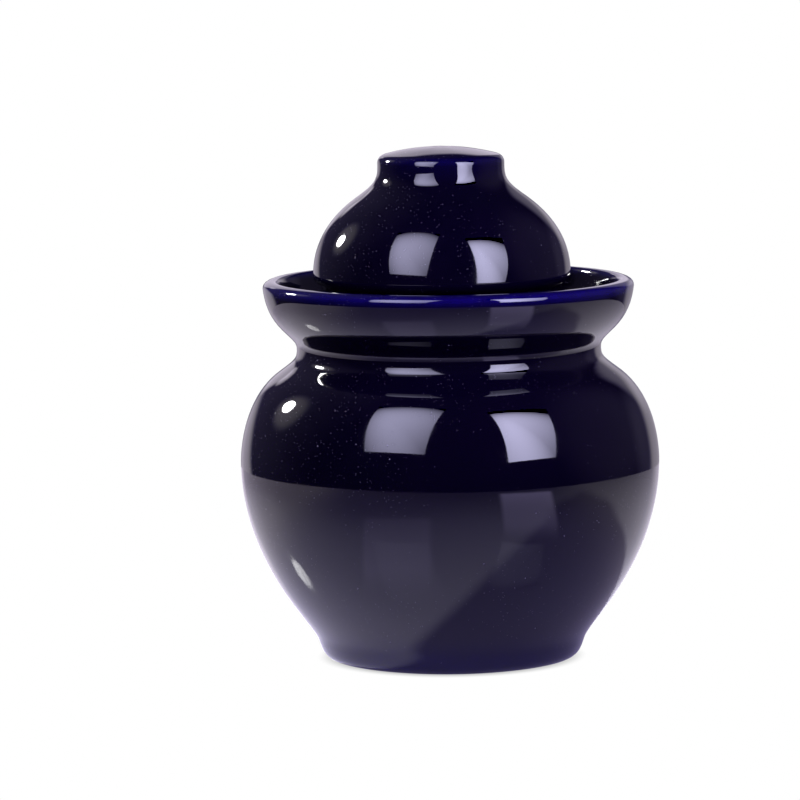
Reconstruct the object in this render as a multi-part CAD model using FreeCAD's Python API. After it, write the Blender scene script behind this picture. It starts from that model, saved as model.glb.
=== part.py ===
import FreeCAD, Part
import math
import os

# A water seal pickle jar of glazed ceramic, in three loose pieces: the jar body, whose mouth stands in a round
# water trough, the big domed lid that stands in that trough, and the small inner lid that covers the mouth.
# Sizes are in millimetres. The jar's axis is Z, and its foot stands on z = 0.
# Every piece is turned from a section, drawn at y = 0 on the side of +X as points of (radius, height).
# A lean is an outline's direction in degrees outward from straight up, so 90 runs level away from the axis.
# A pull is how far a curve keeps its end's direction, as a share of the straight distance between its ends.

# The mouth and its neck, which set the radii of all that stands around them
mouth_diameter = 80.0
neck_wall = 6.0
neck_rise = 6.0  # top of the neck above the crest of the trough's lip, so that spilt water runs outward
mouth_rounding = 2.0  # corners on both sides of the flat land that the inner lid rests on

# The lid's skirt, which stands in the trough around the neck
skirt_play = 5.5  # between neck and skirt, all round, when the lid is centred
skirt_wall = 5.5
skirt_rounding = 1.5
lid_shift = -3.0  # the lid isn't quite centred: it stands this far along X, within its play

# The water trough around the neck
trough_depth = 29.0  # from the crest of its lip down to its floor
trough_play = 7.0  # level floor left outside the skirt
trough_foot_width = 10.7  # from there out to the groove under the trough
trough_flare = 16.3  # how far the lip stands out past that groove
trough_floor_thickness = 7.5
trough_floor_fillet = 2.0
lip_height = 4.0  # from the lip's widest place up to its crest
lip_outer_rounding = 5.0
lip_inner_rounding = 3.2
groove_drop = 4.5  # the groove's narrowest place lies this far below the trough's floor

# The jar body
jar_height = 187.0  # table to the crest of the trough's lip
belly_diameter = 205.8
belly_height = 98.2  # table to the widest place
foot_diameter = 110.6  # outer edge of the flat ring that the jar stands on
foot_ring_width = 8.0
foot_recess = 2.5  # the base inside the foot ring is this much higher
heel_height = 9.8  # the rounded edge between the foot and the belly's wall
heel_flare = 10.5
body_wall = 6.0
base_thickness = 5.5
inner_floor_margin = 7.0  # the level floor inside ends this far inside the foot's outer edge

# The lid
lid_wall = 5.5
lid_overhang = 6.2  # the dome's widest place stands out past the skirt
lid_edge_roll = 4.0  # radius of the rolled lower edge of the dome
lid_edge_sink = 2.0  # underside of that edge below the crest of the trough's lip
dome_rise = 39.4  # from the dome's widest place to where it turns up into the knob
knob_diameter = 62.2
knob_root_flare = 8.9  # the dome meets the knob's root this far outside the knob's side
knob_root_height = 15.6
knob_edge_height = 4.4
knob_edge_width = 3.7
knob_crown = 3.5
knob_roof_thickness = 7.0

# The inner lid
inner_lid_setback = 1.0  # its edge lies this far inside the neck's outside
inner_lid_thickness = 5.0
inner_lid_rounding = 2.3  # upper edge of the disc; its lower edge has half of that
plug_clearance = 1.5  # between the mouth's wall and the step that drops into it
plug_depth = 4.5
plug_rounding = 1.0  # lower edge of the step; the corner above it has half of that
inner_knob_diameter = 18.0
inner_knob_waist = 12.0
inner_knob_height = 15.0
inner_knob_waist_height = 5.0

# Radii, from the mouth outward
mouth_radius = mouth_diameter / 2
neck_radius = mouth_radius + neck_wall
skirt_inner_radius = neck_radius + skirt_play
skirt_radius = skirt_inner_radius + skirt_wall
trough_floor_radius = skirt_radius + trough_play
groove_radius = trough_floor_radius + trough_foot_width
rim_radius = groove_radius + trough_flare
lid_radius = skirt_radius + lid_overhang
belly_radius = belly_diameter / 2
foot_radius = foot_diameter / 2
heel_radius = foot_radius + heel_flare
knob_radius = knob_diameter / 2

# Heights, from the lip of the trough downward and upward
trough_floor_height = jar_height - trough_depth
groove_height = trough_floor_height - groove_drop
mouth_height = jar_height + neck_rise
lid_edge_height = jar_height - lid_edge_sink
lid_widest_height = lid_edge_height + lid_edge_roll

# Shares and leans that give the outlines their character
shoulder_out = 0.33  # place of the shoulder's steady slope between groove and belly, in radius and in height
shoulder_down = 0.22
shoulder_lean = -54.0
heel_lean = 20.0
rim_lean = 6.6
throat_lean = 102.0  # the ceiling under the trough falls away from the neck by 12 degrees
dome_lean = -54.3


def point(radius, height):
    return FreeCAD.Vector(radius, 0, height)


def heading(lean):
    return FreeCAD.Vector(math.sin(math.radians(lean)), 0, math.cos(math.radians(lean)))


def line(start, end):
    return Part.LineSegment(start, end).toShape()


def curve(start, start_lean, start_pull, end, end_lean, end_pull):
    """A smooth curve from start to end that leaves and arrives along the two leans."""
    distance = (end - start).Length
    bezier = Part.BezierCurve()
    bezier.setPoles([
        start,
        start + heading(start_lean) * start_pull * distance,
        end - heading(end_lean) * end_pull * distance,
        end,
    ])
    return bezier.toShape()


def rounded_run(start, corners, end):
    """Straight lines from start to end through corners, each given as (point, radius of its rounding)."""
    edges = []
    reached = start
    following = [corner for corner, radius in corners[1:]] + [end]
    for (corner, radius), ahead in zip(corners, following):
        back = (reached - corner).normalize()
        onward = (ahead - corner).normalize()
        half_angle = back.getAngle(onward) / 2
        inward = (back + onward).normalize()
        leave = corner + back * (radius / math.tan(half_angle))
        rejoin = corner + onward * (radius / math.tan(half_angle))
        middle = corner + inward * (radius / math.sin(half_angle) - radius)
        edges.append(line(reached, leave))
        edges.append(Part.Arc(leave, middle, rejoin).toShape())
        reached = rejoin
    edges.append(line(reached, end))
    return edges


def inside(place, lean, wall):
    """The point a wall's thickness in from an outline that climbs along lean."""
    return place + heading(lean - 90) * wall


def turned(edges):
    """The solid swept by a closed section that goes once round the jar's axis."""
    section = Part.Face(Part.Wire(edges))
    return section.revolve(FreeCAD.Vector(0, 0, 0), FreeCAD.Vector(0, 0, 1), 360)


# Points of the body's outline, which its inside follows at the wall's thickness
heel = point(heel_radius, heel_height)
belly = point(belly_radius, belly_height)
groove = point(groove_radius, groove_height)
shoulder = point(
    groove.x + (belly.x - groove.x) * shoulder_out,
    groove.z + (belly.z - groove.z) * shoulder_down,
)
rim = point(rim_radius, jar_height - lip_height)
crest = point(rim_radius - lip_outer_rounding, jar_height)


def body_outside():
    """Foot, belly, shoulder, groove and the flaring outside of the trough, up to the crest of its lip."""
    recess_radius = foot_radius - foot_ring_width
    foot_edge = point(foot_radius, 0)
    edges = [
        line(point(0, foot_recess), point(recess_radius - foot_recess, foot_recess)),
        line(point(recess_radius - foot_recess, foot_recess), point(recess_radius, 0)),
        line(point(recess_radius, 0), foot_edge),
        curve(foot_edge, 90, 0.56, heel, heel_lean, 0.4),
        curve(heel, heel_lean, 0.106, belly, 0, 0.521),
        curve(belly, 0, 0.10, shoulder, shoulder_lean, 0.465),
        curve(shoulder, shoulder_lean, 0.70, groove, 0, 0.32),
        curve(groove, 0, 0.22, rim, rim_lean, 0.62),
        curve(rim, rim_lean, 0.40, crest, -90, 0.40),
    ]
    return edges


def trough_and_neck():
    """From the crest of the lip down into the trough, over its floor and up the neck to the mouth."""
    lip_inside = point(crest.x - lip_inner_rounding, rim.z)
    floor_edge = point(trough_floor_radius, trough_floor_height)
    neck_inside_top = point(mouth_radius, trough_floor_height)
    edges = [
        curve(crest, -90, 0.45, lip_inside, 180 + rim_lean, 0.45),
        curve(lip_inside, 180 + rim_lean, 0.45, floor_edge, -90, 0.30),
    ]
    edges += rounded_run(
        floor_edge,
        [
            (point(neck_radius, trough_floor_height), trough_floor_fillet),
            (point(neck_radius, mouth_height), mouth_rounding),
            (point(mouth_radius, mouth_height), mouth_rounding),
        ],
        neck_inside_top,
    )
    return edges


def body_inside():
    """From the neck over the ceiling under the trough and down the belly's inside to the floor."""
    neck_bottom = point(mouth_radius, trough_floor_height)
    ceiling_depth = trough_floor_height - trough_floor_thickness
    inner_shoulder = inside(shoulder, shoulder_lean, body_wall)
    inner_belly = inside(belly, 0, body_wall)
    floor_height = foot_recess + base_thickness
    floor_edge = point(foot_radius - inner_floor_margin, floor_height)
    throat = point(mouth_radius + trough_floor_thickness, ceiling_depth)
    edges = [
        curve(neck_bottom, 180, 0.45, throat, throat_lean, 0.45),
        curve(throat, throat_lean, 0.40, inner_shoulder, 180 + shoulder_lean, 0.35),
        curve(inner_shoulder, 180 + shoulder_lean, 0.465, inner_belly, 180, 0.10),
        curve(inner_belly, 180, 0.49, floor_edge, -90, 0.08),
        line(floor_edge, point(0, floor_height)),
        line(point(0, floor_height), point(0, foot_recess)),
    ]
    return edges


def make_jar_body():
    return turned(body_outside() + trough_and_neck() + body_inside())


# Points of the lid's outline, which its inside follows at the wall's thickness
lid_widest = point(lid_radius, lid_widest_height)
knob_root = point(knob_radius + knob_root_flare, lid_widest_height + dome_rise)
knob_side = point(knob_radius, knob_root.z + knob_root_height)
knob_edge = point(knob_radius - knob_edge_width, knob_side.z + knob_edge_height)
knob_top = point(0, knob_edge.z + knob_crown)


def lid_outside():
    """From the top of the knob down the dome, round its rolled edge and down the skirt to the trough's floor."""
    half_slope = math.atan2(knob_crown, knob_edge.x)
    crown_radius = knob_edge.x / math.sin(2 * half_slope)
    crown_middle = point(
        crown_radius * math.sin(half_slope),
        knob_top.z - crown_radius * (1 - math.cos(half_slope)),
    )
    crown_lean = 90 + 2 * math.degrees(half_slope)
    roll_bottom = point(lid_widest.x - lid_edge_roll, lid_edge_height)
    roll_middle = point(
        roll_bottom.x + lid_edge_roll * math.cos(math.radians(45)),
        lid_widest.z - lid_edge_roll * math.sin(math.radians(45)),
    )
    edges = [
        Part.Arc(knob_top, crown_middle, knob_edge).toShape(),
        curve(knob_edge, crown_lean, 0.40, knob_side, 180, 0.40),
        curve(knob_side, 180, 0.366, knob_root, 180 + dome_lean, 0.609),
        curve(knob_root, 180 + dome_lean, 0.15, lid_widest, 180, 0.514),
        Part.Arc(lid_widest, roll_middle, roll_bottom).toShape(),
    ]
    return edges, roll_bottom


def lid_inside(skirt_top):
    """From the skirt's top up the inside of the dome into the hollow knob."""
    inner_widest = inside(lid_widest, 0, lid_wall)
    inner_root = inside(knob_root, dome_lean, lid_wall)
    inner_side = point(knob_radius - lid_wall, knob_root.z + knob_root_height / 2)
    roof_height = knob_top.z - knob_roof_thickness
    edges = [
        curve(skirt_top, 0, 0.40, inner_widest, 0, 0.40),
        curve(inner_widest, 0, 0.514, inner_root, dome_lean, 0.15),
        curve(inner_root, dome_lean, 0.50, inner_side, 0, 0.35),
    ]
    edges += rounded_run(
        inner_side,
        [(point(inner_side.x, roof_height), knob_edge_width)],
        point(0, roof_height),
    )
    edges.append(line(point(0, roof_height), knob_top))
    return edges


def make_lid():
    edges, roll_bottom = lid_outside()
    skirt_top = point(skirt_inner_radius, lid_edge_height - lid_edge_roll)
    edges += rounded_run(
        roll_bottom,
        [
            (point(skirt_radius, lid_edge_height), skirt_rounding),
            (point(skirt_radius, trough_floor_height), skirt_rounding),
            (point(skirt_inner_radius, trough_floor_height), skirt_rounding),
        ],
        skirt_top,
    )
    edges += lid_inside(skirt_top)
    lid = turned(edges)
    lid.translate(FreeCAD.Vector(lid_shift, 0, 0))
    return lid


def make_inner_lid():
    """A flat disc on the mouth's land, with a shallow step below it and a small knob above it."""
    disc_radius = neck_radius - inner_lid_setback
    disc_top = mouth_height + inner_lid_thickness
    plug_radius = mouth_radius - plug_clearance
    plug_bottom = mouth_height - plug_depth
    knob_waist = point(inner_knob_waist / 2, disc_top + inner_knob_waist_height)
    knob_widest = point(inner_knob_diameter / 2, disc_top + (inner_knob_waist_height + inner_knob_height) / 2)
    knob_summit = point(0, disc_top + inner_knob_height)
    knob_foot = point(inner_knob_diameter / 2, disc_top)
    edges = rounded_run(
        point(0, plug_bottom),
        [
            (point(plug_radius, plug_bottom), plug_rounding),
            (point(plug_radius, mouth_height), plug_rounding / 2),
            (point(disc_radius, mouth_height), inner_lid_rounding / 2),
            (point(disc_radius, disc_top), inner_lid_rounding),
        ],
        knob_foot,
    )
    edges += [
        curve(knob_foot, -90, 0.40, knob_waist, 0, 0.40),
        curve(knob_waist, 0, 0.40, knob_widest, 0, 0.40),
        curve(knob_widest, 0, 0.55, knob_summit, -90, 0.55),
        line(knob_summit, point(0, plug_bottom)),
    ]
    return turned(edges)


os.makedirs("parts", exist_ok=True)
make_jar_body().exportStep("parts/jar_body.step")
make_lid().exportStep("parts/lid.step")
make_inner_lid().exportStep("parts/inner_lid.step")
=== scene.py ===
import math

import bpy
import numpy as np
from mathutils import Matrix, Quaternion, Vector


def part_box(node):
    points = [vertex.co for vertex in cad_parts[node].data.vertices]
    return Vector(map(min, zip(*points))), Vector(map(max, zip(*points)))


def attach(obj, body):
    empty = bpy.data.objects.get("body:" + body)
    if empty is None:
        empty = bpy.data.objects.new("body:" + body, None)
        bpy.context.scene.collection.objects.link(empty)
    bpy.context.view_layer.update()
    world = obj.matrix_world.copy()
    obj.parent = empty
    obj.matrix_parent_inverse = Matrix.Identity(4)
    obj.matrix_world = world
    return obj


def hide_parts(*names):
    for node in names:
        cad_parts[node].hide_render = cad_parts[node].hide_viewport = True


# Water seal pickle jar in deep cobalt gloss glaze: jar, domed lid standing in the jar's trough, and inner
# lid. Outlines are drawn in millimetres as (radius, height) and turned about the jar's upright axis.
# A lean is a direction in degrees outward from straight up. Pulls say how long a curve keeps to the lean at
# its start and at its end, as shares of the distance between them.

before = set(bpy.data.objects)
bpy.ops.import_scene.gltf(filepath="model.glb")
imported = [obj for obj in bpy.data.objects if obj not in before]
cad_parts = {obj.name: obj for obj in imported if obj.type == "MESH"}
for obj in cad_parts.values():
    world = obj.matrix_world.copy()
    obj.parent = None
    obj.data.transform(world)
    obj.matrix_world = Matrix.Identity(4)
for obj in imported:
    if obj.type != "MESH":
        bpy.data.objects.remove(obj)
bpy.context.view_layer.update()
mm = 0.001


def boxInMm(node):  # low and high corner of a piece in millimetres
    low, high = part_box(node)
    return np.array(low) / mm, np.array(high) / mm


bodyLow, bodyHigh = boxInMm("jar_body")
lidLow, lidHigh = boxInMm("lid")
innerLow, innerHigh = boxInMm("inner_lid")


# Outlines

def heading(lean):  # unit step (radius, height) along a lean
    return np.array([math.sin(math.radians(lean)), math.cos(math.radians(lean))])


def curve(start, startLean, end, endLean, pulls, count=120):
    # cubic Bezier: leaves start along startLean and reaches end along endLean
    start, end = np.array(start, float), np.array(end, float)
    reach = np.linalg.norm(end - start)
    outOf = start + heading(startLean) * pulls[0] * reach
    into = end - heading(endLean) * pulls[1] * reach
    t = np.linspace(0, 1, count)[:, None]
    return (1 - t) ** 3 * start + 3 * (1 - t) ** 2 * t * outOf + 3 * (1 - t) * t**2 * into + t**3 * end


def straight(start, end, count=40):  # evenly spaced points on a line
    return np.array(start, float) + np.linspace(0, 1, count)[:, None] * (np.array(end, float) - start)


def arc(centre, radius, fromAngle, toAngle, count=40):  # degrees from level outward, upward positive
    turn = np.radians(np.linspace(fromAngle, toAngle, count))
    return np.array(centre) + radius * np.column_stack([np.cos(turn), np.sin(turn)])


def roundedRun(start, corners, end, count=24):
    # lines from start to end through corners (point, rounding), each corner a tangent arc of count points
    places = [np.array(start, float)] + [np.array(p, float) for p, r in corners] + [np.array(end, float)]
    pieces, reached = [], places[0]
    for (corner, rounding), ahead in zip(corners, places[2:]):
        corner = np.array(corner, float)
        back = (reached - corner) / np.linalg.norm(reached - corner)
        onward = (ahead - corner) / np.linalg.norm(ahead - corner)
        half = math.acos(np.clip(back @ onward, -1, 1)) / 2
        leave = corner + back * rounding / math.tan(half)
        rejoin = corner + onward * rounding / math.tan(half)
        middle = corner + (back + onward) / np.linalg.norm(back + onward) * rounding / math.sin(half)
        bend = math.pi - 2 * half
        t = np.linspace(0, 1, count)[:, None]
        sweep = (leave - middle) * np.sin((1 - t) * bend) + (rejoin - middle) * np.sin(t * bend)
        pieces += [straight(reached, leave), middle + sweep / math.sin(bend)]
        reached = rejoin
    return np.vstack(pieces + [straight(reached, places[-1])])


def turning(outline):
    # how far along each point lies, and how sharply the outline turns there, per millimetre and positive on
    # outward edges
    steps = np.diff(outline, axis=0)
    lengths = np.linalg.norm(steps, axis=1)
    lean = np.unwrap(np.arctan2(steps[:, 0], steps[:, 1]))
    along = np.concatenate([[0], np.cumsum(lengths)])
    middles = (along[1:] + along[:-1]) / 2
    bend = -np.diff(lean) / np.diff(middles)
    return along, np.interp(along, along[1:-1], bend)


def respace(outline, count, crowding=9.0, sharpest=1.2, shortest=1e-4):
    # count points on the outline, closer together where it turns: spacing goes as 1 / (1 + crowding * bend),
    # with bend held to sharpest, after points less than shortest apart are dropped
    keep = np.concatenate([[True], np.linalg.norm(np.diff(outline, axis=0), axis=1) > shortest])
    outline = outline[keep]
    along, bend = turning(outline)
    weight = 1 + crowding * np.minimum(np.abs(bend), sharpest)
    total = np.concatenate([[0], np.cumsum(np.diff(along) * (weight[1:] + weight[:-1]) / 2)])
    places = np.interp(np.linspace(0, total[-1], count), total, along)
    return np.column_stack([np.interp(places, along, outline[:, 0]), np.interp(places, along, outline[:, 1])])


def blurAlong(values, along, reach):  # mean over neighbours, weighted by a bell of that reach in millimetres
    spread = np.exp(-0.5 * ((along[:, None] - along[None, :]) / reach) ** 2)
    room = np.gradient(along)
    return (spread * (values * room)).sum(1) / (spread * room).sum(1)


# Turned pieces

def ripple(angles, heights, depth, lengths, seed, fewestWaves=2, mostWaves=8):
    # slow unevenness of a hand-finished wall, always inward: the mean of waves that each have their length in
    # height and a drawn number of rounds in angle, brought to 0 to depth
    draw = np.random.default_rng(seed)
    total = np.zeros((len(heights), len(angles)))
    for length in lengths:
        rounds = draw.integers(fewestWaves, mostWaves + 1)
        slant = draw.uniform(0, 2 * math.pi)
        total += np.sin(rounds * angles[None, :] + heights[:, None] * 2 * math.pi / length + slant)
    return depth * (0.5 + 0.5 * total / len(lengths))


def turnedMesh(name, outline, piece):
    # point (i, j) is outline point i carried round the axis to angle j: (r cos, r sin, h), sunk inward by the
    # ripple; both ends of the outline lie on the axis and close with a fan. Rings of faces come first.
    turns, sideways = piece["turns"], piece["sideways"]
    along = turning(outline)[0]
    angles = np.linspace(0, 2 * math.pi, turns, endpoint=False)
    steps = np.gradient(outline, along, axis=0)
    outward = np.column_stack([steps[:, 1], -steps[:, 0]])
    sink = ripple(angles, outline[:, 1], **piece["unevenness"])
    inner = slice(1, -1)
    radii = outline[inner, 0][:, None] - outward[inner, 0][:, None] * sink[inner]
    heights = outline[inner, 1][:, None] - outward[inner, 1][:, None] * sink[inner]
    grid = np.stack([radii * np.cos(angles) + sideways, radii * np.sin(angles), heights], axis=-1)
    ends = [[sideways, 0, outline[0, 1]], [sideways, 0, outline[-1, 1]]]
    points = np.vstack([grid.reshape(-1, 3), ends]) * mm
    rings = len(outline) - 2
    ring, step = np.meshgrid(np.arange(rings - 1), np.arange(turns), indexing="ij")
    beside = (step + 1) % turns
    quads = np.stack([ring * turns + step, ring * turns + beside,
                      (ring + 1) * turns + beside, (ring + 1) * turns + step], axis=-1).reshape(-1, 4)
    around = np.arange(turns)
    onward = (around + 1) % turns
    lastRing = (rings - 1) * turns
    firstFan = np.column_stack([np.full(turns, rings * turns), onward, around])
    lastFan = np.column_stack([np.full(turns, rings * turns + 1), lastRing + around, lastRing + onward])
    mesh = bpy.data.meshes.new(name)
    mesh.from_pydata(points.tolist(), [], quads.tolist() + firstFan.tolist() + lastFan.tolist())
    return mesh


# Glaze runs off outward edges: it starts to thin where the outline turns through a radius of under 20 mm
# (0.05 per millimetre) and is fully thin at 4 mm. Each piece takes a share of that, its edgeBlue, and its
# thinCoat says where it is thin without an edge. Both are (height, share) pairs.
edgeThinning = {"blur": 1.1, "from": 0.05, "over": 0.2}


def turned(name, outline, piece, bareWhere, materials, body, node):
    mesh = turnedMesh(name, outline, piece)
    turns, heights = piece["turns"], outline[:, 1]
    # the second material goes on bare rings
    bare = bareWhere(outline[:, 0], heights)
    facesBare = np.concatenate([np.repeat(bare[1:-2] & bare[2:-1], turns),
                                np.full(turns, bare[0]), np.full(turns, bare[-1])])
    mesh.polygons.foreach_set("material_index", facesBare.astype(np.int32))
    along, bend = turning(outline)
    bend = blurAlong(bend, along, edgeThinning["blur"])
    thin = np.clip((bend - edgeThinning["from"]) / edgeThinning["over"], 0, 1)
    thin *= np.interp(heights, *zip(*piece["edgeBlue"]))
    thin = np.maximum(thin, np.interp(heights, *zip(*piece["thinCoat"])))
    perPoint = np.concatenate([np.repeat(thin[1:-1], turns), [thin[0], thin[-1]]])
    mesh.attributes.new("glazeThin", "FLOAT", "POINT").data.foreach_set("value", perPoint.astype(np.float32))
    mesh.shade_smooth()
    mesh.update()
    made = bpy.data.objects.new(name, mesh)
    bpy.context.scene.collection.objects.link(made)
    for material in materials:
        mesh.materials.append(material)
    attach(made, body)
    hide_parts(node)
    print(name, "faces", len(mesh.polygons), "thinnest share of glaze", round(thin.max(), 2))


# Materials

def linear(hexColour):  # sRGB hex to linear red, green, blue, alpha
    parts = [int(hexColour[i:i + 2], 16) / 255 for i in (1, 3, 5)]
    return tuple(c / 12.92 if c <= 0.04045 else ((c + 0.055) / 1.055) ** 2.4 for c in parts) + (1.0,)


def addNode(tree, kind, settings, inputs):
    # inputs are socket values, or (node, output) for a link. Mix takes its factor at 0 and its colours at 6
    # and 7. MapRange takes its value at 0, the range it comes from at 1 and 2, and the one it goes to at 3
    # and 4.
    node = tree.nodes.new("ShaderNode" + kind)
    for name, value in settings.items():
        setattr(node, name, value)
    for name, value in inputs.items():
        if isinstance(value, tuple) and isinstance(value[0], bpy.types.Node):
            tree.links.new(value[0].outputs[value[1]], node.inputs[name])
        else:
            node.inputs[name].default_value = value
    return node


def emptyMaterial(name):
    material = bpy.data.materials.new(name)
    material.use_nodes = True
    material.node_tree.nodes.clear()
    return material, material.node_tree


def perSize(size):  # texture scale for a pattern of that size in millimetres
    return 1 / (size * mm)


glaze = {  # sizes in millimetres
    "deep": "#02010e",        # thick glaze, nearly black
    "deepWarm": "#050111",    # slightly redder where it pooled unevenly
    "thin": "#0a0346",        # where it runs thin over an edge
    "speck": "#8d889c",       # kiln dust and pinholes
    "ior": 1.52,
    "roughness": 0.035,
    "hazeRoughness": 0.10,
    "speckRoughness": 0.4,    # added at a speck
    "cloudSize": 40.0,        # slow change from deep to deepWarm
    "mottleSize": 7.0,        # uneven edge of the thin places
    "mottle": (0.75, 1.1),    # least and most of their blue
    "patchSize": 45.0,        # specks gather in patches
    "patchEdge": (0.36, 0.60),                   # noise at a patch's edge and where it is full
    "stray": 0.03,            # share of the specks that lie between patches
    "speckCore": 0.4,         # full to this share of its radius
    "hazeSize": 22.0,
    "peelSize": 9.0,          # orange peel
    "peelDepth": 0.010,
    "fineSize": 1.6,
    "fineDepth": 0.0012,
    "grainDepth": 0.1,
    "grain": 0.6,             # strength of its relief
    "specks": ((5.0, 0.32, 0.40), (1.7, 0.15, 0.30), (1.1, 0.12, 0.42)),  # spacing, radius, share of places
    "dustFrom": (-0.8, -0.1, 0.7),               # the side that the dust settled on
    "dustLess": -0.09,        # taken from the patches where the glaze faces away from it
    "dustMore": 0.2,
}


def cobaltGlaze(name, seed):
    # Cobalt oxide glaze on stoneware, dipped and fired to a glass: near black where thick, bright blue on
    # edges, mirror gloss broken only by faint orange peel, pinholes and a little dust.
    material, tree = emptyMaterial(name)
    place = addNode(tree, "TexCoord", {}, {})
    spot = addNode(tree, "Mapping", {}, {"Vector": (place, "Object"), "Location": (seed, seed * 0.7, 0)})
    # colour: deep glaze in slow clouds, blue where thin
    clouds = addNode(tree, "TexNoise", {},
                     {"Vector": (spot, 0), "Scale": perSize(glaze["cloudSize"]), "Detail": 3.0})
    edge = addNode(tree, "Attribute", {"attribute_name": "glazeThin"}, {})
    mottle = addNode(tree, "TexNoise", {},
                     {"Vector": (spot, 0), "Scale": perSize(glaze["mottleSize"]), "Detail": 4.0})
    patchy = addNode(tree, "MapRange", {},
                     {0: (mottle, "Fac"), 1: 0.3, 2: 0.7, 3: glaze["mottle"][0], 4: glaze["mottle"][1]})
    thin = addNode(tree, "Math", {"operation": "MULTIPLY", "use_clamp": True},
                   {0: (edge, "Fac"), 1: (patchy, 0)})
    deep = addNode(tree, "Mix", {"data_type": "RGBA"},
                   {0: (clouds, "Fac"), 6: linear(glaze["deep"]), 7: linear(glaze["deepWarm"])})
    blue = addNode(tree, "Mix", {"data_type": "RGBA"},
                   {0: (thin, 0), 6: (deep, 2), 7: linear(glaze["thin"])})
    # specks: sets of dots from coarse to fine, each in a share of its cells, gathered in patches and on the
    # side that the dust came from
    patches = addNode(tree, "TexNoise", {},
                      {"Vector": (spot, 0), "Scale": perSize(glaze["patchSize"]), "Detail": 2.0})
    facing = addNode(tree, "NewGeometry", {}, {})
    sided = addNode(tree, "VectorMath", {"operation": "DOT_PRODUCT"},
                    {0: (facing, "Normal"), 1: glaze["dustFrom"]})
    settled = addNode(tree, "MapRange", {},
                      {0: (sided, "Value"), 1: 0.1, 2: 1.0, 3: glaze["dustLess"], 4: glaze["dustMore"]})
    drift = addNode(tree, "Math", {"operation": "ADD"}, {0: (patches, "Fac"), 1: (settled, 0)})
    gathered = addNode(tree, "MapRange", {}, {0: (drift, 0), 1: glaze["patchEdge"][0],
                                              2: glaze["patchEdge"][1], 3: glaze["stray"], 4: 1.0})
    speck = None
    for spacing, radius, share in glaze["specks"]:
        cells = addNode(tree, "TexVoronoi", {}, {"Vector": (spot, 0), "Scale": perSize(spacing)})
        cellDraw = addNode(tree, "SeparateColor", {}, {0: (cells, "Color")})
        reach = radius / spacing
        dot = addNode(tree, "MapRange", {},
                      {0: (cells, "Distance"), 1: reach, 2: reach * glaze["speckCore"], 3: 0.0, 4: 1.0})
        enough = addNode(tree, "Math", {"operation": "MULTIPLY"}, {0: (gathered, 0), 1: share})
        chosen = addNode(tree, "Math", {"operation": "LESS_THAN"}, {0: (cellDraw, 0), 1: (enough, 0)})
        dotHere = addNode(tree, "Math", {"operation": "MULTIPLY"}, {0: (dot, 0), 1: (chosen, 0)})
        speck = dotHere if speck is None else addNode(
            tree, "Math", {"operation": "ADD", "use_clamp": True}, {0: (speck, 0), 1: (dotHere, 0)})
    colour = addNode(tree, "Mix", {"data_type": "RGBA"},
                     {0: (speck, 0), 6: (blue, 2), 7: linear(glaze["speck"])})
    # gloss: clean glass, with haze in faint patches and a dull dot at each speck
    hazeField = addNode(tree, "TexNoise", {},
                        {"Vector": (spot, 0), "Scale": perSize(glaze["hazeSize"]), "Detail": 5.0})
    haze = addNode(tree, "MapRange", {},
                   {0: (hazeField, "Fac"), 1: 0.5, 2: 0.8, 3: glaze["roughness"], 4: glaze["hazeRoughness"]})
    rough = addNode(tree, "Math", {"operation": "MULTIPLY_ADD", "use_clamp": True},
                    {0: (speck, 0), 1: glaze["speckRoughness"], 2: (haze, 0)})
    # surface: slow orange peel, a finer tremor, and a raised grain at each speck
    peel = addNode(tree, "TexNoise", {},
                   {"Vector": (spot, 0), "Scale": perSize(glaze["peelSize"]), "Detail": 1.0})
    fine = addNode(tree, "TexNoise", {},
                   {"Vector": (spot, 0), "Scale": perSize(glaze["fineSize"]), "Detail": 2.0})
    peelBump = addNode(tree, "Bump", {},
                       {"Strength": 1.0, "Distance": glaze["peelDepth"] * mm, "Height": (peel, "Fac")})
    fineBump = addNode(tree, "Bump", {}, {"Strength": 1.0, "Distance": glaze["fineDepth"] * mm,
                                          "Height": (fine, "Fac"), "Normal": (peelBump, 0)})
    grain = addNode(tree, "Bump", {}, {"Strength": glaze["grain"], "Distance": glaze["grainDepth"] * mm,
                                       "Height": (speck, 0), "Normal": (fineBump, 0)})
    shader = addNode(tree, "BsdfPrincipled", {}, {"Base Color": (colour, 2), "Roughness": (rough, 0),
                                                  "IOR": glaze["ior"], "Normal": (grain, 0)})
    addNode(tree, "OutputMaterial", {}, {"Surface": (shader, 0)})
    return material


clay = {  # sizes in millimetres
    "body": "#cdbfa6",        # buff stoneware
    "iron": "#7a5a3c",        # iron specks
    "toneSize": 12.0,
    "tone": 0.25,             # share of iron's colour in the darkest clouds
    "grit": 0.7,
    "gritDepth": 0.12,
    "gritRelief": 0.5,
    "ironSpacing": 3,         # grits from one iron speck to the next
    "ironEdge": (0.16, 0.08),                    # where a speck starts and is full, as shares of spacing
    "ironShare": 0.7,
    "roughness": 0.82,
}


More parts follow.
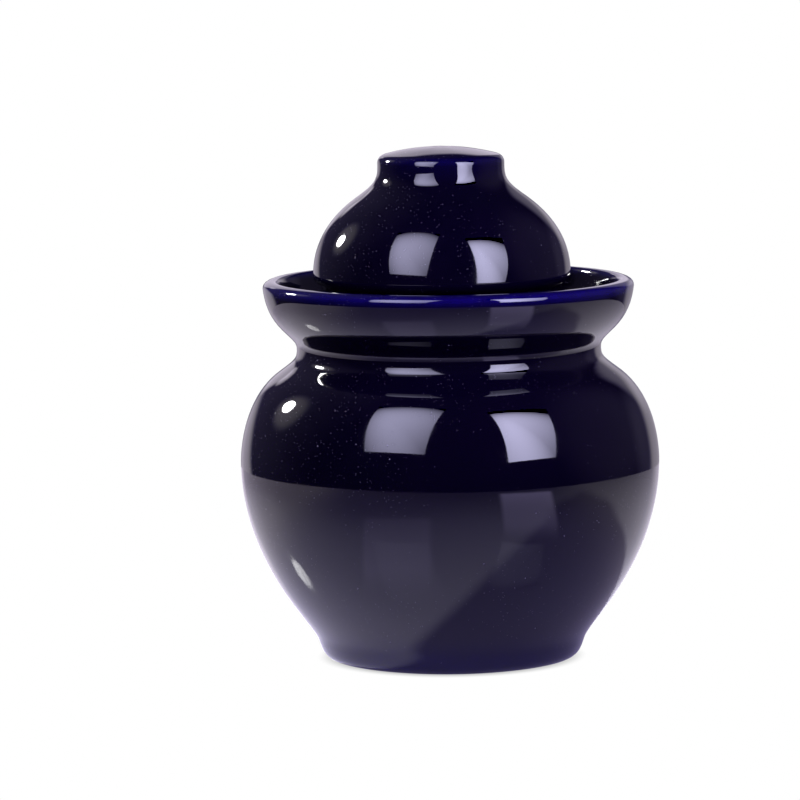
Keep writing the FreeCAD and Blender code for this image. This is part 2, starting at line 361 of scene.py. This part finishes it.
def bareStoneware(name):
    # Buff stoneware left without glaze where the piece stood in the kiln: dry, gritty, specked with iron.
    material, tree = emptyMaterial(name)
    place = addNode(tree, "TexCoord", {}, {})
    tone = addNode(tree, "TexNoise", {},
                   {"Vector": (place, "Object"), "Scale": perSize(clay["toneSize"]), "Detail": 6.0})
    shade = addNode(tree, "MapRange", {}, {0: (tone, "Fac"), 1: 0.3, 2: 0.7, 3: 0.0, 4: clay["tone"]})
    grit = addNode(tree, "TexVoronoi", {},
                   {"Vector": (place, "Object"), "Scale": perSize(clay["grit"] * clay["ironSpacing"])})
    iron = addNode(tree, "MapRange", {}, {0: (grit, "Distance"), 1: clay["ironEdge"][0],
                                          2: clay["ironEdge"][1], 3: 0.0, 4: clay["ironShare"]})
    both = addNode(tree, "Math", {"operation": "ADD", "use_clamp": True}, {0: (shade, 0), 1: (iron, 0)})
    colour = addNode(tree, "Mix", {"data_type": "RGBA"},
                     {0: (both, 0), 6: linear(clay["body"]), 7: linear(clay["iron"])})
    grain = addNode(tree, "TexNoise", {},
                    {"Vector": (place, "Object"), "Scale": perSize(clay["grit"]), "Detail": 3.0})
    bump = addNode(tree, "Bump", {},
                   {"Strength": clay["gritRelief"], "Distance": clay["gritDepth"] * mm,
                    "Height": (grain, "Fac")})
    shader = addNode(tree, "BsdfPrincipled", {},
                     {"Base Color": (colour, 2), "Roughness": clay["roughness"], "Normal": (bump, 0)})
    addNode(tree, "OutputMaterial", {}, {"Surface": (shader, 0)})
    return material


stoneware = bareStoneware("buff_stoneware")


# The jar: belly, shoulder, flaring water trough, neck, and the hollow inside

jar = {
    "mouth": 40.0, "neckWall": 6.0, "mouthRounding": 2.0,
    "troughFloor": 64.0, "troughFloorHeight": 158.0, "troughFillet": 2.0,
    "groove": (74.7, 153.5), "rim": 91.0, "rimLean": 6.6, "lipHeight": 4.0, "lipOuter": 5.0, "lipInner": 3.2,
    "crestHeight": 187.0, "belly": bodyHigh[0], "bellyHeight": 98.2,
    "shoulderOut": 0.33, "shoulderDown": 0.22,   # shares of the way from groove to belly
    "shoulderLean": -54.0,
    "foot": 55.3, "footRing": 8.0, "footRecess": 2.5, "heel": (65.8, 9.8), "heelLean": 20.0,
    "wall": 6.0, "base": 5.5, "ceiling": 7.5, "innerFloor": 48.3, "throatLean": 102.0,
    "pulls": {
        "foot": (0.56, 0.40), "belowBelly": (0.106, 0.521), "aboveBelly": (0.10, 0.465),
        "shoulder": (0.70, 0.32), "flare": (0.22, 0.62), "lipOutside": (0.40, 0.40),
        "lipInside": (0.45, 0.45), "troughWall": (0.45, 0.30), "throat": (0.45, 0.45),
        "ceiling": (0.40, 0.35),
        "innerShoulder": (0.465, 0.10), "innerBelly": (0.49, 0.08),
    },
    "sideways": 0.0, "points": 232, "turns": 400,
    "unevenness": {"depth": 0.16, "lengths": (150, 95, 61, 47, 33), "seed": 11},
    "edgeBlue": ((0, 0.5), (12, 0.3), (150, 0.2), (178, 0.85)),
    "thinCoat": ((0, 0.55), (8, 0.35), (20, 0.0)),
    "glazeStarts": 0.1,       # above and outside the foot ring
}


def jarOutline():
    # foot, belly, groove and trough outside; lip, trough and neck; then down the inside to the floor
    j, pulls = jar, jar["pulls"]
    mouthHeight, floorHeight = bodyHigh[2], j["troughFloorHeight"]
    belly, groove = (j["belly"], j["bellyHeight"]), j["groove"]
    rim = (j["rim"], j["crestHeight"] - j["lipHeight"])
    crest = (j["rim"] - j["lipOuter"], j["crestHeight"])
    shoulder = (groove[0] + (belly[0] - groove[0]) * j["shoulderOut"],
                groove[1] + (belly[1] - groove[1]) * j["shoulderDown"])
    lean = j["shoulderLean"]
    recess = j["foot"] - j["footRing"]
    recessEdge = (recess - j["footRecess"], j["footRecess"])
    outside = [
        straight((0, j["footRecess"]), recessEdge),
        straight(recessEdge, (recess, 0)),
        straight((recess, 0), (j["foot"], 0)),
        curve((j["foot"], 0), 90, j["heel"], j["heelLean"], pulls["foot"]),
        curve(j["heel"], j["heelLean"], belly, 0, pulls["belowBelly"]),
        curve(belly, 0, shoulder, lean, pulls["aboveBelly"]),
        curve(shoulder, lean, groove, 0, pulls["shoulder"]),
        curve(groove, 0, rim, j["rimLean"], pulls["flare"]),
        curve(rim, j["rimLean"], crest, -90, pulls["lipOutside"]),
    ]
    lipInside = (crest[0] - j["lipInner"], rim[1])
    troughEdge = (j["troughFloor"], floorHeight)
    neck = j["mouth"] + j["neckWall"]
    trough = [
        curve(crest, -90, lipInside, 180 + j["rimLean"], pulls["lipInside"]),
        curve(lipInside, 180 + j["rimLean"], troughEdge, -90, pulls["troughWall"]),
        roundedRun(troughEdge,
                   [((neck, floorHeight), j["troughFillet"]), ((neck, mouthHeight), j["mouthRounding"]),
                    ((j["mouth"], mouthHeight), j["mouthRounding"])],
                   (j["mouth"], floorHeight)),
    ]
    innerShoulder = np.array(shoulder) + heading(lean - 90) * j["wall"]
    innerBelly = (belly[0] - j["wall"], belly[1])
    throat = (j["mouth"] + j["ceiling"], floorHeight - j["ceiling"])
    floorTop = j["footRecess"] + j["base"]
    inside = [
        curve((j["mouth"], floorHeight), 180, throat, j["throatLean"], pulls["throat"]),
        curve(throat, j["throatLean"], innerShoulder, 180 + lean, pulls["ceiling"]),
        curve(innerShoulder, 180 + lean, innerBelly, 180, pulls["innerShoulder"]),
        curve(innerBelly, 180, (j["innerFloor"], floorTop), -90, pulls["innerBelly"]),
        straight((j["innerFloor"], floorTop), (0, floorTop)),
    ]
    return respace(np.vstack(outside + trough + inside), j["points"])


def bareFoot(radii, heights):
    return (heights < jar["footRecess"] + jar["glazeStarts"]) & (radii < jar["foot"] + jar["glazeStarts"])


turned("glazedJar", jarOutline(), jar, bareFoot, [cobaltGlaze("cobalt_glaze_jar", 0.31), stoneware],
       "jar", "jar_body")


# The lid: hollow knob, dome, rolled edge and the skirt that stands in the trough

lid = {
    "skirtInside": 51.5, "skirt": 57.0, "skirtRounding": 1.5, "bottom": lidLow[2],
    "widest": (lidHigh[0] - lidLow[0]) / 2, "edgeRoll": 4.0, "edgeHeight": 185.0,
    "domeLean": -54.3, "knobRoot": (40.0, 228.4), "knobSide": (31.1, 244.0), "knobEdge": (27.4, 248.4),
    "knobCrown": 3.5, "knobRoof": 7.0, "wall": 5.5,
    "pulls": {
        "innerKnob": (0.35, 0.50), "innerDome": (0.15, 0.514), "step": (0.40, 0.40),
        "dome": (0.514, 0.15), "knobRoot": (0.609, 0.366), "knobEdge": (0.40, 0.40),
    },
    "sideways": (lidLow[0] + lidHigh[0]) / 2, "points": 196, "turns": 340,
    "unevenness": {"depth": 0.13, "lengths": (110, 73, 52, 38, 27), "seed": 5},
    "edgeBlue": ((195, 0.0), (240, 0.33)),
    "thinCoat": ((170, 0.0), (236, 0.0), (244, 0.12)),
    "glazeStarts": 0.5,       # above the skirt's foot
}


def lidOutline():
    # from the knob's roof down the inside, round the skirt's foot, up the outside and over the knob's crown
    d, pulls = lid, lid["pulls"]
    top = d["knobEdge"][1] + d["knobCrown"]
    widest = (d["widest"], d["edgeHeight"] + d["edgeRoll"])
    innerWidest = (d["widest"] - d["wall"], widest[1])
    innerRoot = np.array(d["knobRoot"]) + heading(d["domeLean"] - 90) * d["wall"]
    innerSide = (d["knobSide"][0] - d["wall"], (d["knobRoot"][1] + d["knobSide"][1]) / 2)
    skirtTop = (d["skirtInside"], d["edgeHeight"] - d["edgeRoll"])
    roof = top - d["knobRoof"]
    inside = [
        roundedRun((0, roof), [((innerSide[0], roof), d["knobSide"][0] - d["knobEdge"][0])], innerSide),
        curve(innerSide, 180, innerRoot, 180 + d["domeLean"], pulls["innerKnob"]),
        curve(innerRoot, 180 + d["domeLean"], innerWidest, 180, pulls["innerDome"]),
        curve(innerWidest, 180, skirtTop, 180, pulls["step"]),
    ]
    rollBottom = (d["widest"] - d["edgeRoll"], d["edgeHeight"])
    skirt = roundedRun(skirtTop, [((d["skirtInside"], d["bottom"]), d["skirtRounding"]),
                                  ((d["skirt"], d["bottom"]), d["skirtRounding"]),
                                  ((d["skirt"], d["edgeHeight"]), d["skirtRounding"])], rollBottom)
    # the crown is an arc over the knob's edge, and the knob's side runs into it along its slope
    halfSlope = math.atan2(d["knobCrown"], d["knobEdge"][0])
    crownRadius = d["knobEdge"][0] / math.sin(2 * halfSlope)
    crownLean = 90 + 2 * math.degrees(halfSlope)
    outside = [
        arc((rollBottom[0], widest[1]), d["edgeRoll"], -90, 0),
        curve(widest, 0, d["knobRoot"], d["domeLean"], pulls["dome"]),
        curve(d["knobRoot"], d["domeLean"], d["knobSide"], 0, pulls["knobRoot"]),
        curve(d["knobSide"], 0, d["knobEdge"], crownLean - 180, pulls["knobEdge"]),
        arc((0, top - crownRadius), crownRadius, 90 - 2 * math.degrees(halfSlope), 90),
    ]
    return respace(np.vstack(inside + [skirt] + outside), d["points"])


def bareSkirtEdge(radii, heights):
    return heights < lid["bottom"] + lid["glazeStarts"]


turned("domedLid", lidOutline(), lid, bareSkirtEdge, [cobaltGlaze("cobalt_glaze_lid", 2.17), stoneware],
       "lid", "lid")


# The inner lid: a disc on the mouth's land, with a shallow step below and a small knob above

innerLid = {
    "plug": 38.5, "plugRounding": 1.0, "disc": innerHigh[0], "rounding": 2.3, "thickness": 5.0,
    "seat": bodyHigh[2], "knob": 9.0, "waist": 6.0, "waistHeight": 5.0, "knobHeight": 15.0,
    "pulls": {"knobRoot": (0.40, 0.40), "knobSide": (0.40, 0.40), "knobTop": (0.55, 0.55)},
    "sideways": 0.0, "points": 150, "turns": 220,
    "unevenness": {"depth": 0.08, "lengths": (60, 43, 29), "seed": 3},
    "edgeBlue": ((188, 0.4), (210, 0.2)),
    "thinCoat": ((180, 0.0), (210, 0.0)),
    "glazeStarts": 0.3,       # above the seat on the mouth
}


def innerLidOutline():
    # from the axis out under the plug, round the disc's edge, and up over the knob
    d, pulls = innerLid, innerLid["pulls"]
    discTop = d["seat"] + d["thickness"]
    waist = (d["waist"], discTop + d["waistHeight"])
    widest = (d["knob"], discTop + (d["waistHeight"] + d["knobHeight"]) / 2)
    pieces = [
        roundedRun((0, innerLow[2]), [((d["plug"], innerLow[2]), d["plugRounding"]),
                                      ((d["plug"], d["seat"]), d["plugRounding"] / 2),
                                      ((d["disc"], d["seat"]), d["rounding"] / 2),
                                      ((d["disc"], discTop), d["rounding"])], (d["knob"], discTop)),
        curve((d["knob"], discTop), -90, waist, 0, pulls["knobRoot"]),
        curve(waist, 0, widest, 0, pulls["knobSide"]),
        curve(widest, 0, (0, discTop + d["knobHeight"]), -90, pulls["knobTop"]),
    ]
    return respace(np.vstack(pieces), d["points"])


def bareUnderside(radii, heights):
    return heights < innerLid["seat"] + innerLid["glazeStarts"]


turned("innerLidDisc", innerLidOutline(), innerLid, bareUnderside,
       [cobaltGlaze("cobalt_glaze_inner_lid", 4.4), stoneware], "inner_lid", "inner_lid")


# Stage: a pale floor for the eye, and the glossy sheet on the table that the glaze mirrors

def disc(name, radius, middle, height, rings=24, count=96):
    # flat: (middle x + r cos, middle y + r sin, height), rings of quads round a fan
    turn = np.linspace(0, 2 * math.pi, count, endpoint=False)
    reach = np.linspace(0, radius, rings + 1)[1:]
    ring = np.repeat(np.arange(rings - 1), count) * count
    step = np.tile(np.arange(count), rings - 1)
    beside = (step + 1) % count
    across, deep = np.outer(reach, np.cos(turn)), np.outer(reach, np.sin(turn))
    points = np.stack([middle[0] + across, middle[1] + deep, np.full((rings, count), height)], axis=-1)
    points = np.vstack([points.reshape(-1, 3), [*middle, height]])
    quads = np.column_stack([ring + step, ring + count + step, ring + count + beside, ring + beside])
    first = np.arange(count)
    fan = np.column_stack([np.full(count, rings * count), first, (first + 1) % count])
    mesh = bpy.data.meshes.new(name)
    mesh.from_pydata(points.tolist(), [], quads.tolist() + fan.tolist())
    made = bpy.data.objects.new(name, mesh)
    bpy.context.scene.collection.objects.link(made)
    return made


def stagePaint(name, colour, roughness, gloss):
    # paint with a glow of its own, and the distance from the jar's axis for what changes with it
    material, tree = emptyMaterial(name)
    shader = addNode(tree, "BsdfPrincipled", {},
                     {"Base Color": linear(colour), "Roughness": roughness, "Specular IOR Level": gloss,
                      "Emission Color": (1, 1, 1, 1)})
    addNode(tree, "OutputMaterial", {}, {"Surface": (shader, 0)})
    place = addNode(tree, "TexCoord", {}, {})
    fromJar = addNode(tree, "VectorMath", {"operation": "LENGTH"}, {0: (place, "Object")})
    return material, tree, shader, place, fromJar


paleFloor = {
    "radius": 3.0,
    # shade is a painted shadow: the strength the floor's glow is dimmed to at the foot
    "shade": 0.55,            # how bright it is at the foot
    "shadeReach": 0.012,      # metres outside the foot
}

floor = disc("paleFloor", paleFloor["radius"], (0, 0), 0.0)
# White paper sweep that glows even white of its own, but for a soft touch of painted shade around the foot.
floorPaint, tree, shader, place, fromJar = stagePaint("glowing_white_floor_painted_shade", "#000000", 1.0, 0.0)
footEdge = jar["foot"] * mm
lift = addNode(tree, "MapRange", {"interpolation_type": "SMOOTHSTEP"},
               {0: (fromJar, "Value"), 1: footEdge, 2: footEdge + paleFloor["shadeReach"],
                3: paleFloor["shade"], 4: 1.0})
tree.links.new(lift.outputs[0], shader.inputs["Emission Strength"])
floor.data.materials.append(floorPaint)
for seen in ("visible_glossy", "visible_diffuse", "visible_shadow", "visible_transmission"):
    setattr(floor, seen, False)

glossySheet = {  # metres
    "radius": 0.665, "middle": (0, 0.085), "height": -0.0002,
    # near is paler than far: painted light, brighter towards the jar
    "near": "#807a9f", "far": "#65607f", "fade": (0.08, 0.32), "side": "#6c6780",
    "roughness": 0.085, "gloss": 0.17, "glossStarts": (0.080, 0.105),
    # frontTint, sideTint, glow, glowLean and glares are painted light: the sheet glows of its own, brighter
    # to the left, with pools of glare
    "frontTint": "#cfc2ff", "sideTint": "#f7ebff",
    "glow": (0.22, 0.50),     # in front and at the back
    "glowFade": (-0.08, 0.3), "glowAside": 0.75,   # over y + 0.75 |x|
    "glowLean": 0.6,          # brighter to the left, per metre
    "glares": (               # degrees from the front, rightward; distances; strengths near and far
        {"bearing": 38.0, "half": 13.5, "from": 0.19, "to": 0.56, "near": 0.35, "far": 1.8},
        {"bearing": -25.0, "half": 16.0, "from": 0.11, "to": 0.30, "near": 0.35, "far": 0.2},
    ),
    "glareEdge": 0.12, "glareStarts": (0.95, 1.3), "glareEnds": (1.0, 0.9),   # soft edges, as shares
}


def sheetColour(tree, shader, fromJar, swept):
    # lilac, with painted light: paler near the jar, where it stands in for brighter light; greyer at the back
    # and sides; worn dull close to the foot
    s = glossySheet
    away = addNode(tree, "MapRange", {},
                   {0: (fromJar, "Value"), 1: s["fade"][0], 2: s["fade"][1], 3: 0.0, 4: 1.0})
    paint = addNode(tree, "Mix", {"data_type": "RGBA"},
                    {0: (away, 0), 6: linear(s["near"]), 7: linear(s["far"])})
    sidePaint = addNode(tree, "Mix", {"data_type": "RGBA"},
                        {0: (swept, 0), 6: (paint, 2), 7: linear(s["side"])})
    tree.links.new(sidePaint.outputs[2], shader.inputs["Base Color"])
    gloss = addNode(tree, "MapRange", {}, {0: (fromJar, "Value"), 1: s["glossStarts"][0],
                                           2: s["glossStarts"][1], 3: 0.0, 4: s["gloss"]})
    tree.links.new(gloss.outputs[0], shader.inputs["Specular IOR Level"])


def sheetGlow(tree, shader, fromJar, swept, spread):
    # painted light for what the sweep and the softboxes leave on the sheet: a painted glow that turns from
    # lilac to white towards the back and sides, and soft-edged sectors of painted glare, by direction from
    # the front and distance from the jar
    s = glossySheet
    tint = addNode(tree, "Mix", {"data_type": "RGBA"},
                   {0: (swept, 0), 6: linear(s["frontTint"]), 7: linear(s["sideTint"])})
    tree.links.new(tint.outputs[2], shader.inputs["Emission Color"])
    leftward = addNode(tree, "Math", {"operation": "MULTIPLY_ADD"},
                       {0: (spread, 0), 1: -s["glowLean"], 2: 1.0})
    swell = addNode(tree, "MapRange", {}, {0: (swept, 0), 3: s["glow"][0], 4: s["glow"][1]})
    glow = addNode(tree, "Math", {"operation": "MULTIPLY"}, {0: (swell, 0), 1: (leftward, 0)})
    frontward = addNode(tree, "Math", {"operation": "MULTIPLY"}, {0: (spread, 1), 1: -1.0})
    bearing = addNode(tree, "Math", {"operation": "ARCTAN2"}, {0: (spread, 0), 1: (frontward, 0)})
    for glare in s["glares"]:
        middle, half = math.radians(glare["bearing"]), math.radians(glare["half"])
        off = addNode(tree, "Math", {"operation": "SUBTRACT"}, {0: (bearing, 0), 1: middle})
        offSize = addNode(tree, "Math", {"operation": "ABSOLUTE"}, {0: (off, 0)})
        within = addNode(tree, "MapRange", {"interpolation_type": "SMOOTHSTEP"},
                         {0: (offSize, 0), 1: half * (1 + s["glareEdge"]), 2: half * (1 - s["glareEdge"]),
                          3: 0.0, 4: 1.0})
        begins = addNode(tree, "MapRange", {"interpolation_type": "SMOOTHSTEP"},
                         {0: (fromJar, "Value"), 1: glare["from"] * s["glareStarts"][0],
                          2: glare["from"] * s["glareStarts"][1], 3: 0.0, 4: 1.0})
        ends = addNode(tree, "MapRange", {"interpolation_type": "SMOOTHSTEP"},
                       {0: (fromJar, "Value"), 1: glare["to"] * s["glareEnds"][0],
                        2: glare["to"] * s["glareEnds"][1], 3: 0.0, 4: 1.0})
        level = addNode(tree, "MapRange", {}, {0: (fromJar, "Value"), 1: glare["from"], 2: glare["to"],
                                               3: glare["near"], 4: glare["far"]})
        part = addNode(tree, "Math", {"operation": "MULTIPLY"}, {0: (within, 0), 1: (begins, 0)})
        part = addNode(tree, "Math", {"operation": "MULTIPLY"}, {0: (part, 0), 1: (ends, 0)})
        glow = addNode(tree, "Math", {"operation": "MULTIPLY_ADD"},
                       {0: (part, 0), 1: (level, 0), 2: (glow, 0)})
    tree.links.new(glow.outputs[0], shader.inputs["Emission Strength"])


sheet = disc("glossySheet", glossySheet["radius"], glossySheet["middle"], glossySheet["height"])
# Satin lacquered board, lilac, just glossy enough to pass the lights on to the glaze above it; it also
# carries painted light, a glow of its own with pools of glare.
sheetPaint, tree, shader, place, fromJar = stagePaint(
    "satin_lilac_sheet_painted_light", glossySheet["far"], glossySheet["roughness"], glossySheet["gloss"])
spread = addNode(tree, "SeparateXYZ", {}, {0: (place, "Object")})
aside = addNode(tree, "Math", {"operation": "ABSOLUTE"}, {0: (spread, 0)})
backward = addNode(tree, "Math", {"operation": "MULTIPLY_ADD"},
                   {0: (aside, 0), 1: glossySheet["glowAside"], 2: (spread, 1)})
swept = addNode(tree, "MapRange", {"interpolation_type": "SMOOTHSTEP"},
                {0: (backward, 0), 1: glossySheet["glowFade"][0], 2: glossySheet["glowFade"][1],
                 3: 0.0, 4: 1.0})
sheetColour(tree, shader, fromJar, swept)
sheetGlow(tree, shader, fromJar, swept, spread)
sheet.data.materials.append(sheetPaint)
sheet.visible_camera = False
print("stage ready")


# Light: two softboxes over the front, a small lamp at the left behind, and the white sweep behind

def direction(azimuth, elevation):
    # unit vector, from degrees rightward from the front and degrees up
    level, rise = math.radians(azimuth), math.radians(elevation)
    return Vector((math.sin(level) * math.cos(rise), -math.cos(level) * math.cos(rise), math.sin(rise)))


softboxTint = "#dad7ff"
softboxes = {  # corners top left, top right, bottom right, bottom left, in metres; peak is across and up
    "softboxLeft": {"corners": ((-0.606, -0.313, 1.189), (-0.034, -0.574, 1.261),
                                (-0.118, -0.515, 0.256), (-0.422, -0.420, 0.275)),
                    "radiance": 9.4, "peak": (0.50, 0.38, 0), "fall": (1.6, 2.2)},
    "softboxRight": {"corners": ((0.378, -0.615, 1.176), (0.827, -0.259, 1.030),
                                 (0.326, -0.244, 0.167), (0.199, -0.370, 0.167)),
                     "radiance": 15.6, "peak": (0.32, 0.28, 0), "fall": (1.2, 2.6)},
}


def softbox(name, corners, radiance, peak, fall):
    # White diffusion cloth over a lamp. A sheet of light facing the jar, dimmer away from its peak by
    # 1 - fall u (u - peak u)^2 - fall v (v - peak v)^2, with u from left to right and v from bottom to top.
    mesh = bpy.data.meshes.new(name)
    mesh.from_pydata(corners, [], [(0, 1, 2, 3)])
    mesh.uv_layers.new(name="across").data.foreach_set("uv", [0, 1, 1, 1, 1, 0, 0, 0])
    made = bpy.data.objects.new(name, mesh)
    bpy.context.scene.collection.objects.link(made)
    material, tree = emptyMaterial(name)
    place = addNode(tree, "UVMap", {"uv_map": "across"}, {})
    fromPeak = addNode(tree, "VectorMath", {"operation": "SUBTRACT"}, {0: (place, 0), 1: peak})
    stretched = addNode(tree, "VectorMath", {"operation": "MULTIPLY"},
                        {0: (fromPeak, 0), 1: (math.sqrt(fall[0]), math.sqrt(fall[1]), 0)})
    squared = addNode(tree, "VectorMath", {"operation": "DOT_PRODUCT"},
                      {0: (stretched, 0), 1: (stretched, 0)})
    back = addNode(tree, "NewGeometry", {}, {})
    facing = addNode(tree, "Math", {"operation": "SUBTRACT"}, {0: 1.0, 1: (back, "Backfacing")})
    level = addNode(tree, "Math", {"operation": "SUBTRACT"}, {0: 1.0, 1: (squared, "Value")})
    lit = addNode(tree, "Math", {"operation": "MULTIPLY"}, {0: (level, 0), 1: (facing, 0)})
    power = addNode(tree, "Math", {"operation": "MULTIPLY"}, {0: (lit, 0), 1: radiance})
    shine = addNode(tree, "Emission", {}, {"Color": linear(softboxTint), "Strength": (power, 0)})
    addNode(tree, "OutputMaterial", {}, {"Surface": (shine, 0)})
    mesh.materials.append(material)
    made.visible_camera = False


for name, box in softboxes.items():
    softbox(name, **box)

# The lamp twice: what the glaze mirrors of it, and the soft-edged beam it throws on the sheet.
lampRadius = 0.09
lampCentre = Vector((0, 0, 0.13))   # distances and directions are from here
lamps = {
    "lampShine": {"azimuth": -120.0, "elevation": 25.5, "distance": 1.2, "aim": lampCentre,
                  "spread": 180.0, "radiance": 100.0, "colour": "#ffffff"},
    "lampWash": {"azimuth": -110.0, "elevation": 32.1, "distance": 1.4, "aim": Vector((0.3, 0.1, 0)),
                 "spread": 42.0, "radiance": 130.0, "colour": "#f7ffd8"},
}
sheetOnly = bpy.data.collections.new("sheet_only")
sheetOnly.objects.link(sheet)
for name, lamp in lamps.items():
    light = bpy.data.lights.new(name, "AREA")
    light.shape, light.size = "DISK", lampRadius * 2
    light.energy = lamp["radiance"] * math.pi * math.pi * lampRadius**2   # radiance * pi * the disc's area
    light.color = linear(lamp["colour"])[:3]
    light.spread = math.radians(lamp["spread"])
    made = bpy.data.objects.new(name, light)
    made.location = lampCentre + direction(lamp["azimuth"], lamp["elevation"]) * lamp["distance"]
    made.rotation_mode = "QUATERNION"
    made.rotation_quaternion = (lamp["aim"] - made.location).to_track_quat("-Z", "Y")
    made.visible_camera = False
    made.visible_glossy = name == "lampShine"
    made.visible_diffuse = name == "lampWash"
    if name == "lampWash":
        made.light_linking.receiver_collection = sheetOnly
    bpy.context.scene.collection.objects.link(made)

sky = {
    "tint": "#f5ebff",        # light from the sweep
    "dimTint": "#b4a4ff",     # the dimmer, the more violet
    "tintFull": 0.5,          # strength from which it has the sweep's tint
    "surround": 0.02,
    "patches": {              # azimuth, elevation, inner and outer angle, strength
        "sweepMiddle": (-174.5, 14.0, 12.0, 16.0, 0.95),
        "sweepRight": (164.0, 16.0, 7.0, 18.0, 0.36),
        "sweepLowRight": (160.0, -3.0, 8.0, 19.0, 0.5),
        "fillLowRight": (142.0, 1.0, 6.0, 22.0, 0.13),
        "sweepLowLeft": (-157.0, -10.0, 9.0, 19.0, 0.75),
        "reflectorEdge": (-159.5, 17.0, 1.0, 4.0, 1.0),
        "lampHalo": (-120.0, 25.5, 4.0, 15.0, 0.55),
        "greyLeft": (-125.0, 28.0, 14.0, 55.0, 0.11),
        "greyRight": (102.0, 18.0, 10.0, 45.0, 0.13),
    },
}

world = bpy.data.worlds.new("studio")
bpy.context.scene.world = world
world.use_nodes = True
tree = world.node_tree
tree.nodes.clear()
toward = addNode(tree, "TexCoord", {}, {})
total = sky["surround"]
for azimuth, elevation, inner, outer, strength in sky["patches"].values():
    # an even patch of light around a direction, fading between the inner and outer angle from it
    closeness = addNode(tree, "VectorMath", {"operation": "DOT_PRODUCT"},
                        {0: (toward, "Generated"), 1: direction(azimuth, elevation)})
    patch = addNode(tree, "MapRange", {"interpolation_type": "SMOOTHSTEP"},
                    {0: (closeness, "Value"), 1: math.cos(math.radians(outer)),
                     2: math.cos(math.radians(inner)), 3: 0.0, 4: strength})
    held = addNode(tree, "Math", {"operation": "ADD"}, {0: (patch, 0), 1: total})
    total = (held, 0)
fullness = addNode(tree, "MapRange", {}, {0: total, 1: 0.0, 2: sky["tintFull"], 3: 0.0, 4: 1.0})
skyTint = addNode(tree, "Mix", {"data_type": "RGBA"},
                  {0: (fullness, 0), 6: linear(sky["dimTint"]), 7: linear(sky["tint"])})
mirrored = addNode(tree, "Background", {}, {"Color": (skyTint, 2), "Strength": total})
# the camera itself sees plain white
white = addNode(tree, "Background", {}, {"Color": (1, 1, 1, 1), "Strength": 1.0})
eye = addNode(tree, "LightPath", {}, {})
mix = addNode(tree, "MixShader", {}, {0: (eye, "Is Camera Ray"), 1: (mirrored, 0), 2: (white, 0)})
addNode(tree, "OutputWorld", {}, {"Surface": (mix, 0)})
print("light ready")


# Camera: long lens, a little above the lid

camera = {  # lens and sensor in millimetres, places in metres, picture side in pixels
    "lens": 230.0, "sensor": 36.0, "place": Vector((0.0, -2.495, 0.418)), "clip": (0.1, 20.0),
    "aimHeight": 0.0984, "aimPixel": (450.0, 457.7), "picture": 800.0, "roll": -0.6,
}
cameraData = bpy.data.cameras.new("camera")
cameraData.lens, cameraData.sensor_width = camera["lens"], camera["sensor"]
cameraData.clip_start, cameraData.clip_end = camera["clip"]
cameraObject = bpy.data.objects.new("camera", cameraData)
# the point at aimHeight on the jar's axis comes out at aimPixel
toAim = (Vector((0, 0, camera["aimHeight"])) - camera["place"]).normalized()
focal = camera["lens"] / camera["sensor"] * camera["picture"]
half = camera["picture"] / 2
aimRay = Vector((camera["aimPixel"][0] - half, half - camera["aimPixel"][1], -focal)).normalized()
offCentre = aimRay.rotation_difference(Vector((0, 0, -1)))
cameraObject.location = camera["place"]
cameraObject.rotation_mode = "QUATERNION"
cameraObject.rotation_quaternion = (
    toAim.to_track_quat("-Z", "Y") @ Quaternion((0, 0, 1), math.radians(camera["roll"])) @ offCentre
)
bpy.context.scene.collection.objects.link(cameraObject)
bpy.context.scene.camera = cameraObject
bpy.context.scene.view_settings.view_transform = "Standard"

print("scene ready")
